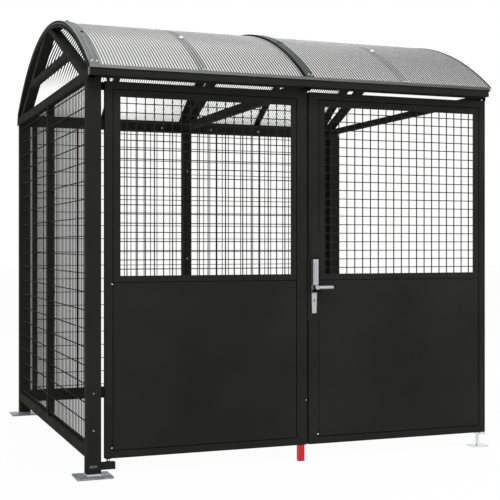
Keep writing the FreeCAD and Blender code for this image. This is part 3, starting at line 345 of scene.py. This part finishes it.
# the trim gets painted shade towards the right
trim = weathered_and_shaded("grey_trim", 0.148, 0.182, least=0.28)
joint_strip = capped("weathered_side_shaded_joint_strip", "centre_joint_cap", 0.013, SIDE_SHADE_BLACK, (0.078, 0.080, 0.080))
edge_strip = capped("weathered_side_shaded_edge_strip", "left_edge_cap", 0.001, SIDE_SHADE_BLACK, (0.185, 0.19, 0.19))
lock_steel = sided_steel("lock_steel", "lock_plate", 0.0003, (0.05, 0.055, 0.065), (0.36, 0.375, 0.40))
upper_skin = upper_plastic("roof_plastic_upper")
lower_skin = lower_plastic("roof_plastic_lower")

# the look of each material slot, and of the nodes that differ from theirs
LOOKS = {
    "black_paint": black,
    "galvanised": zinc,
    "roof_sheet": upper_skin,
    "grey_trim": trim,
    "red_paint": red,
    "stainless": steel,
}
OWN_LOOKS = {
    "centre_joint_cap": joint_strip,
    "left_edge_cap": edge_strip,
    "lock_plate": lock_steel,
    "front_right_foot": bright,
    "right_bottom_pivot": bright,
}

# how far edges are rounded: most nodes, nodes that differ, and the ends of names whose edges stay sharp
SOFT_EDGE = 0.0015
OWN_EDGES = {
    "front_left_post": 0.004,
    "back_left_post": 0.004,
    "back_right_post": 0.004,
    "lock_plate": 0.002,
    "drop_bolt": 0.005,
    "left_bottom_pivot": 0.006,
    "lever_handle": 0.003,
}
SHARP_ENDINGS = ("mesh", "mesh_panel", "sheet")


def dress(name, look):
    """Give a solid its finish and softly rounded edges."""
    thing = nodes[name]
    thing.data.materials.clear()
    thing.data.materials.append(look)
    if not name.endswith(SHARP_ENDINGS):
        rounded = thing.modifiers.new("rounded_edges", "BEVEL")
        rounded.width = OWN_EDGES.get(name, SOFT_EDGE)
        rounded.segments = 2
        rounded.limit_method = "ANGLE"
        rounded.angle_limit = math.radians(50.0)
        rounded.harden_normals = True


for part in frame["record"]["subparts"]:
    dress(part["node"], OWN_LOOKS.get(part["node"], LOOKS[part["material_slot"]]))


# ways to make a piece


FRONT = (0.0, -1.0, 0.0)
RIGHT = (1.0, 0.0, 0.0)
UP = (0.0, 0.0, 1.0)
DOWN = (0.0, 0.0, -1.0)

# profiles of turned pieces: shares of the radius and the height
PAN_HEAD = ((1.0, 0.0), (1.0, 0.25), (0.93, 0.5), (0.75, 0.75), (0.45, 0.92), (0.28, 0.94), (0.26, 0.6))
WASHER_HEAD = (
    (1.0, 0.0), (1.0, 0.12), (0.94, 0.18), (0.60, 0.24), (0.58, 0.30),
    (0.56, 0.62), (0.46, 0.86), (0.25, 0.98), (0.22, 0.70),
)
SLEEVE = ((1.0, 0.0), (1.0, 0.75), (0.94, 0.85), (0.94, 1.0))
BOSS = ((1.0, 0.0), (1.0, 0.4), (0.9, 0.75), (0.7, 1.0))
RING = ((1.0, 0.0), (1.03, 0.25), (1.03, 0.75), (1.0, 1.0))


def piece(name, points, faces, look, body, smooth=True):
    """Mesh piece that rides on a body."""
    mesh = bpy.data.meshes.new(name)
    mesh.from_pydata(points, [], faces)
    mesh.update()
    for face in mesh.polygons:
        face.use_smooth = smooth
    made = bpy.data.objects.new(name, mesh)
    bpy.context.scene.collection.objects.link(made)
    made.data.materials.append(look)
    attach(made, body)
    return made


def bands_between_rings(rings, count):
    """Faces that join each ring of points to the next one."""
    faces = []
    for ring in range(rings - 1):
        first = ring * count
        second = first + count
        for step in range(count):
            following = (step + 1) % count
            faces.append((first + step, first + following, second + following, second + step))
    return faces


def fluted_sheet(name, node):
    """Curved sheet: softly fluted upper skin over a smooth lower skin, closed at the edges."""
    columns_per_flute = 6
    rows = 40
    clearance = 0.0006
    flute_depth = 0.0012
    low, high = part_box(node)
    columns = round((high.x - low.x) / FLUTE_PITCH * columns_per_flute)
    limit = math.asin(high.y / SHEET_OUTER_RADIUS)
    points = []
    for upper in (True, False):
        for column in range(columns + 1):
            x = low.x + (high.x - low.x) * column / columns
            radius = SHEET_INNER_RADIUS + clearance
            if upper:
                crest = math.cos(2.0 * math.pi * x / FLUTE_PITCH)
                radius = SHEET_OUTER_RADIUS - clearance - flute_depth * (1.0 - crest) / 2
            for row in range(rows + 1):
                tilt = limit * (2.0 * row / rows - 1.0)
                points.append((x, radius * math.sin(tilt), ARC_CENTRE_Z + radius * math.cos(tilt)))
    stride = rows + 1
    layer = (columns + 1) * stride
    top = []
    under = []
    for column in range(columns):
        for row in range(rows):
            start = column * stride + row
            top.append((start, start + stride, start + stride + 1, start + 1))
            start += layer
            under.append((start, start + 1, start + stride + 1, start + stride))
    for column in range(columns):
        start = column * stride
        top.append((start, start + layer, start + layer + stride, start + stride))
        start += rows
        top.append((start, start + stride, start + layer + stride, start + layer))
    for row in range(rows):
        top.append((row, row + 1, row + layer + 1, row + layer))
        start = columns * stride + row
        top.append((start, start + layer, start + layer + 1, start + 1))
    made = piece(name, points, top + under, upper_skin, "frame")
    made.data.materials.append(lower_skin)
    for face in made.data.polygons[len(top):]:
        face.material_index = 1
    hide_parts(node)


def turned(name, centre, out, radius, height, profile, look, body):
    """Turned piece standing on a surface that looks outwards."""
    around = 16
    turn = Vector(out).to_track_quat("Z", "Y").to_matrix()
    points = []
    for share, rise in profile:
        reach = share * radius
        for step in range(around):
            angle = 2.0 * math.pi * step / around
            local = Vector((reach * math.cos(angle), reach * math.sin(angle), rise * height))
            points.append(Vector(centre) + turn @ local)
    faces = bands_between_rings(len(profile), around)
    faces.append(tuple(range(around - 1, -1, -1)))
    faces.append(tuple(range(len(points) - around, len(points))))
    piece(name, points, faces, look, body)


def rivet(name, centre, radius, look, body, slot):
    """Pan head on a face that looks forward."""
    turned(name, centre, FRONT, radius, radius * 0.6, PAN_HEAD, look, body)


def roof_screw(name, x, y, seat, radius, look):
    """Washer head on the roof, at the radius of the surface that it sits on."""
    tilt = math.asin(y / seat)
    out = Vector((0.0, math.sin(tilt), math.cos(tilt)))
    centre = Vector((x, 0.0, ARC_CENTRE_Z)) + out * seat
    turned(name, centre, out, radius, radius * 0.75, WASHER_HEAD, look, "frame")


def ridge_outline(x_low, x_high, seat, sink, shoulder, rise, chamfer):
    """Outline of a low ridge with chamfered shoulders, on a surface of the given radius."""
    return [
        (x_low, seat - sink), (x_high, seat - sink), (x_high, seat + shoulder),
        (x_high - chamfer, seat + rise), (x_low + chamfer, seat + rise), (x_low, seat + shoulder),
    ]


def arc_strip(name, outline, y_low, y_high, look):
    """Strip bent over the roof: its outline in x and radius, swept from one y to the other."""
    rows = 60
    count = len(outline)
    tilt_low = math.asin(y_low / SHEET_OUTER_RADIUS)
    tilt_high = math.asin(y_high / SHEET_OUTER_RADIUS)
    points = []
    for row in range(rows + 1):
        tilt = tilt_low + (tilt_high - tilt_low) * row / rows
        for x, radius in outline:
            points.append((x, radius * math.sin(tilt), ARC_CENTRE_Z + radius * math.cos(tilt)))
    faces = []
    for first, second, third, fourth in bands_between_rings(rows + 1, count):
        faces.append((first, fourth, third, second))
    faces.append(tuple(range(count)))
    faces.append(tuple(range(len(points) - 1, len(points) - count - 1, -1)))
    piece(name, points, faces, look, "frame", smooth=False)


def rounded_plate(name, centre, right, size, corner, look, body, slot):
    """Upright plate with rounded corners and a chamfered rim, its back face on centre."""
    steps = 4
    right = Vector(right)
    up = Vector(UP)
    out = right.cross(up)
    width, height, thick = size
    chamfer = thick * 0.4
    points = []
    for rise, inset in ((0.0, 0.0), (thick - chamfer, 0.0), (thick, chamfer)):
        for quarter in range(4):
            side = 1.0 if quarter in (0, 3) else -1.0
            rail = 1.0 if quarter in (0, 1) else -1.0
            for step in range(steps + 1):
                angle = math.radians(90.0) * (quarter + step / steps)
                across = side * (width / 2 - corner) + (corner - inset) * math.cos(angle)
                upwards = rail * (height / 2 - corner) + (corner - inset) * math.sin(angle)
                points.append(Vector(centre) + right * across + up * upwards + out * rise)
    count = 4 * (steps + 1)
    faces = bands_between_rings(3, count)
    faces.append(tuple(range(count - 1, -1, -1)))
    faces.append(tuple(range(2 * count, 3 * count)))
    piece(name, points, faces, look, body, smooth=False)


# roof pieces


fluted_sheet("left_fluted_sheet", "left_roof_sheet")
fluted_sheet("right_fluted_sheet", "right_roof_sheet")

ENDS = (("front", -1.0), ("back", 1.0))
SHEET_SCREWS_X = (("two", -0.621), ("four", 0.602))
SHEET_SCREWS_Y = (-0.92, -0.335, 0.335, 0.92)
for label, x in SHEET_SCREWS_X:
    for y in SHEET_SCREWS_Y:
        name = f"sheet_screw_{label}_{round(y * 1000)}"
        roof_screw(name, x, y, SHEET_OUTER_RADIUS, 0.014, bright)

EDGE_SCREWS_X = -1.206
EDGE_SCREWS_Y = (-0.995, -0.50, 0.50, 0.995)
for y in EDGE_SCREWS_Y:
    name = f"edge_cap_screw_{round(y * 1000)}"
    roof_screw(name, EDGE_SCREWS_X, y, EDGE_CAP_RADIUS, 0.010, black)
EDGE_RIVETS_X = (-1.230, -1.204)
EDGE_RIVETS_Y = (-1.440, 1.440)
for x in EDGE_RIVETS_X:
    for y in EDGE_RIVETS_Y:
        name = f"edge_cap_rivet_{round(-x * 1000)}_{round(y * 1000)}"
        roof_screw(name, x, y, EDGE_CAP_RADIUS, 0.006, bright)

JOINT_RIVETS = (("left", -0.0135, 1.452), ("right", 0.0075, 1.456))
for label, x, y in JOINT_RIVETS:
    for end, sign in ENDS:
        name = f"joint_cap_{end}_rivet_{label}"
        roof_screw(name, x, sign * y, JOINT_CAP_RADIUS, 0.0055, bright)
JOINT_SCREWS = (("left", -0.0107, 0.904), ("right", 0.0056, 0.916))
for label, x, y in JOINT_SCREWS:
    for end, sign in ENDS:
        name = f"joint_cap_{end}_screw_{label}"
        roof_screw(name, x, sign * y, JOINT_CAP_RADIUS, 0.008, black)

# beads on the left edge cap, painted lighter than the cap as a painted highlight
BEADS_X = (-1.2455, -1.2175)
BEAD_HALF_WIDTH = 0.0035
BEAD_REACH_Y = 1.425
for number, x in enumerate(BEADS_X):
    outline = ridge_outline(
        x - BEAD_HALF_WIDTH, x + BEAD_HALF_WIDTH, EDGE_CAP_RADIUS,
        sink=0.0005, shoulder=0.0003, rise=0.0014, chamfer=BEAD_HALF_WIDTH / 2,
    )
    arc_strip(f"edge_cap_bead_{number}", outline, -BEAD_REACH_Y, BEAD_REACH_Y, bead_highlight_grey)

ANGLE_REACH_Y = 1.455
right_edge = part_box("right_roof_sheet")[1].x
angle_inner = right_edge + 0.0004
angle_outer = right_edge + 0.0025
angle_lip = right_edge - 0.0080
angle_foot = SHEET_OUTER_RADIUS - 0.0170
angle_under = SHEET_OUTER_RADIUS + 0.0002
angle_top = SHEET_OUTER_RADIUS + 0.0016
angle_outline = [
    (angle_inner, angle_foot), (angle_outer, angle_foot), (angle_outer, angle_top),
    (angle_lip, angle_top), (angle_lip, angle_under), (angle_inner, angle_under),
]
arc_strip("right_edge_angle", angle_outline, -ANGLE_REACH_Y, ANGLE_REACH_Y, black)

CLIPS_X = (("two", -0.632, -0.592), ("four", 0.583, 0.630))
CLIPS_Y = (1.442, 1.450)
for label, x_low, x_high in CLIPS_X:
    outline = ridge_outline(
        x_low, x_high, SHEET_OUTER_RADIUS,
        sink=0.0010, shoulder=0.0012, rise=0.0025, chamfer=0.002,
    )
    for end, sign in ENDS:
        y_low, y_high = sorted(sign * y for y in CLIPS_Y)
        arc_strip(f"{end}_clip_{label}", outline, y_low, y_high, bright)


# rivets, bolts and plates: the surfaces that carry them come from the frame


POST_WIDTH = 0.076
SPIGOT_STEP = 0.0015
SPIGOT_Z = 0.0155
post_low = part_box("front_left_post")[0]
post_x = post_low.x + POST_WIDTH / 2
post_y = post_low.y + POST_WIDTH / 2
post_front = post_low.y
spigot_left = post_low.x + SPIGOT_STEP
spigot_front = post_low.y + SPIGOT_STEP
leaf_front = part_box("left_door_hinge_stile")[0].y
beam_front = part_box("back_top_beam")[0].y
upright_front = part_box("back_mid_upright")[0].y
side_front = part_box("side_mid_upright")[0].y

# the middle of the plate on the gutter's left end, from the gutter's lower front edge
END_PLATE_BACK = 0.0215
END_PLATE_UP = 0.0235
gutter_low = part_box("front_gutter")[0]
end_plate_centre = (gutter_low.x, gutter_low.y + END_PLATE_BACK, gutter_low.z + END_PLATE_UP)

# name, place, radius, look, body and slot
HEADS = (
    ("left_panel_rivet_0", (-1.1135, leaf_front, 1.0355), 0.004, bright, "left_door", "stainless"),
    ("left_panel_rivet_1", (-1.1135, leaf_front, 0.152), 0.004, bright, "left_door", "stainless"),
    ("right_panel_rivet", (0.067, leaf_front, 0.1525), 0.004, bright, "right_door", "stainless"),
    ("left_meeting_rivet", (-0.005, leaf_front, 0.353), 0.0035, bright, "left_door", "stainless"),
    ("post_screw_0", (-1.214, post_front, 0.452), 0.005, zinc, "frame", "galvanised"),
    ("post_screw_1", (-1.214, post_front, 0.253), 0.005, zinc, "frame", "galvanised"),
    ("beam_bolt_0", (-0.201, beam_front, 2.146), 0.008, zinc, "frame", "galvanised"),
    ("beam_bolt_1", (-0.0135, beam_front, 2.152), 0.008, zinc, "frame", "galvanised"),
    ("beam_bolt_2", (0.018, beam_front, 2.151), 0.008, zinc, "frame", "galvanised"),
    ("beam_bolt_3", (0.185, beam_front, 2.146), 0.008, zinc, "frame", "galvanised"),
    ("beam_bolt_4", (0.567, beam_front, 2.145), 0.008, zinc, "frame", "galvanised"),
    ("back_upright_bolt_0", (-0.004, upright_front, 1.815), 0.007, zinc, "frame", "galvanised"),
    ("back_upright_bolt_1", (-0.004, upright_front, 1.144), 0.007, zinc, "frame", "galvanised"),
    ("side_upright_bolt", (-1.218, side_front, 1.82), 0.006, zinc, "frame", "galvanised"),
)
for head in HEADS:
    rivet(*head)

# width, height and thickness of the strips on the spigot under the post: pale zinc, with a painted
# reflection that makes them bright
SPIGOT_STRIP = (0.072, 0.0104, 0.0012)

# name, place, direction to its right, width with height and thickness, corner radius, look, body and slot
PLATES = (
    ("post_top_plate", (post_x, post_front, 2.1167), RIGHT, (POST_WIDTH, 0.0575, 0.003), 0.004,
     black, "frame", "black_paint"),
    ("post_foot_plate", (-1.2150, post_front, 0.0605), RIGHT, (0.040, 0.014, 0.001), 0.003,
     dull_steel, "frame", "stainless"),
    ("foot_front_strip", (post_x, spigot_front, SPIGOT_Z), RIGHT, SPIGOT_STRIP, 0.002,
     pale_zinc_painted_reflection, "frame", "galvanised"),
    ("foot_side_strip", (spigot_left, post_y, SPIGOT_Z), FRONT, SPIGOT_STRIP, 0.002,
     pale_zinc_painted_reflection, "frame", "galvanised"),
    ("gutter_end_plate", end_plate_centre, FRONT, (0.041, 0.041, 0.0015), 0.004,
     dull_steel, "frame", "galvanised"),
    ("right_pivot_plate", (1.137, leaf_front, 2.1385), RIGHT, (0.012, 0.006, 0.002), 0.002,
     zinc, "frame", "galvanised"),
    ("lock_upper_cover", (0.050, leaf_front, 1.2515), RIGHT, (0.056, 0.153, 0.003), 0.004,
     black, "right_door", "black_paint"),
)
for plate in PLATES:
    rounded_plate(*plate)


# left pivot


SLEEVE_Z = 0.0762
BOSS_OVERLAP = 0.0002
stile_low, stile_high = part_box("left_door_hinge_stile")
pivot_x = (stile_low.x + stile_high.x) / 2
pivot_y = (stile_low.y + stile_high.y) / 2
sleeve_centre = (pivot_x, pivot_y, SLEEVE_Z)
boss_centre = (pivot_x, pivot_y, stile_low.z + BOSS_OVERLAP)
turned("left_pivot_sleeve", sleeve_centre, UP, 0.0100, 0.015, SLEEVE, bright, "frame")
turned("left_pivot_boss", boss_centre, DOWN, 0.0170, 0.0042, BOSS, black, "left_door")


# lock and lever


LOCK_THICK = 0.008
KEY_RISE = 0.004
KEY_Z = 0.928
COLLAR_Z = 0.9812
STUD_RISE = 0.003
lock_low, lock_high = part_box("lock_plate")
lock_x = (lock_low.x + lock_high.x) / 2
lock_front = lock_high.y - LOCK_THICK
key_front = lock_front - KEY_RISE
case_front = lock_low.y + STUD_RISE

BUTTONS = 10
BUTTON_X = 0.0325
BUTTON_Z = 1.037
BUTTON_PITCH = 0.012
for number in range(BUTTONS):
    centre = (BUTTON_X, case_front, BUTTON_Z + BUTTON_PITCH * number)
    rivet(f"lock_button_{number}", centre, 0.0040, dull_steel, "right_door", "stainless")

rounded_plate("lock_collar", (lock_x, lock_front, COLLAR_Z), RIGHT, (0.028, 0.0186, 0.014), 0.004,
              black, "right_door", "black_paint")
rounded_plate("lock_key_slot", (lock_x, key_front, KEY_Z), RIGHT, (0.0045, 0.0135, 0.0008), 0.002,
              black, "right_door", "black_paint")

LEVER_BAR_RADIUS = 0.0115
HUB_OVER = 0.001
RING_FROM_END = 0.0155
lever_low, lever_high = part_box("lever_handle")
bar_y = lever_low.y + HUB_OVER + LEVER_BAR_RADIUS
bar_z = (lever_low.z + lever_high.z) / 2
ring_centre = (lever_high.x - RING_FROM_END, bar_y, bar_z)
turned("lever_end_ring", ring_centre, RIGHT, 0.0117, 0.0022, RING, dull_steel, "lever")


# surroundings: floor, light and camera


def shown_white(tree, lit, share):
    """White for what the camera, mirrors and clear plastic see, mixed with the lit surface."""
    rays = tree.nodes.new("ShaderNodeLightPath").outputs
    seen = arithmetic(tree, "MAXIMUM", rays["Is Camera Ray"], rays["Is Glossy Ray"])
    also_through = arithmetic(tree, "MAXIMUM", seen, rays["Is Transmission Ray"])
    white = tree.nodes.new("ShaderNodeEmission")
    white.inputs["Color"].default_value = (1.0, 1.0, 1.0, 1.0)
    white.inputs["Strength"].default_value = 1.0
    mix = tree.nodes.new("ShaderNodeMixShader")
    tree.links.new(arithmetic(tree, "MULTIPLY", also_through, share), mix.inputs["Fac"])
    tree.links.new(lit, mix.inputs[1])
    tree.links.new(white.outputs["Emission"], mix.inputs[2])
    return mix.outputs["Shader"]


floor_look, floor_tree, floor_shader = material("pale_floor")
floor_shader.inputs["Base Color"].default_value = (0.80, 0.80, 0.80, 1.0)
floor_shader.inputs["Roughness"].default_value = 0.9
floor_shader.inputs["Specular IOR Level"].default_value = 0.1
floor_tree.links.new(
    shown_white(floor_tree, floor_shader.outputs["BSDF"], share=0.96),
    floor_tree.nodes["Material Output"].inputs["Surface"],
)
SPAN = 60.0
floor_mesh = bpy.data.meshes.new("floor")
floor_mesh.from_pydata(
    [(-SPAN, -SPAN, 0.0), (SPAN, -SPAN, 0.0), (SPAN, SPAN, 0.0), (-SPAN, SPAN, 0.0)],
    [],
    [(0, 1, 2, 3)],
)
floor = bpy.data.objects.new("floor", floor_mesh)
bpy.context.scene.collection.objects.link(floor)
floor.data.materials.append(floor_look)

world = bpy.data.worlds.new("studio")
bpy.context.scene.world = world
world.use_nodes = True
world_tree = world.node_tree
ambient = world_tree.nodes["Background"]
ambient.inputs["Color"].default_value = (1.0, 1.0, 1.0, 1.0)
ambient.inputs["Strength"].default_value = 0.55
world_tree.links.new(
    shown_white(world_tree, ambient.outputs["Background"], share=1.0),
    world_tree.nodes["World Output"].inputs["Surface"],
)


def lamp(name, place, target, size, power):
    """Round soft lamp turned towards a target."""
    data = bpy.data.lights.new(name, "AREA")
    data.shape = "DISK"
    data.size = size
    data.energy = power
    made = bpy.data.objects.new(name, data)
    made.location = place
    made.rotation_euler = (Vector(target) - Vector(place)).to_track_quat("-Z", "Y").to_euler()
    bpy.context.scene.collection.objects.link(made)


lamp("key", (-3.0, -6.0, 7.0), (-0.5, 0.0, 1.6), size=3.0, power=360.0)
lamp("fill", (4.2, -6.0, 2.8), (0.8, -1.4, 1.0), size=3.0, power=230.0)
lamp("rear", (2.0, 7.0, 6.0), (0.0, 0.0, 1.5), size=4.0, power=220.0)

IMAGE = 500.0
FOCAL_PIXELS = 1241.5
CENTRE_PIXEL = (416.6, 244.8)
SENSOR = 36.0
HEADING = 24.85
camera_data = bpy.data.cameras.new("camera")
camera_data.sensor_fit = "HORIZONTAL"
camera_data.sensor_width = SENSOR
camera_data.lens = SENSOR * FOCAL_PIXELS / IMAGE
camera_data.shift_x = (IMAGE / 2 - CENTRE_PIXEL[0]) / IMAGE
camera_data.shift_y = (CENTRE_PIXEL[1] - IMAGE / 2) / IMAGE
camera_data.clip_end = 200.0
camera = bpy.data.objects.new("camera", camera_data)
camera.location = (-2.4362, -8.1497, 1.248)
camera.rotation_euler = (math.radians(90.0), 0.0, math.radians(-HEADING))
bpy.context.scene.collection.objects.link(camera)
bpy.context.scene.camera = camera
bpy.context.scene.view_settings.view_transform = "Standard"
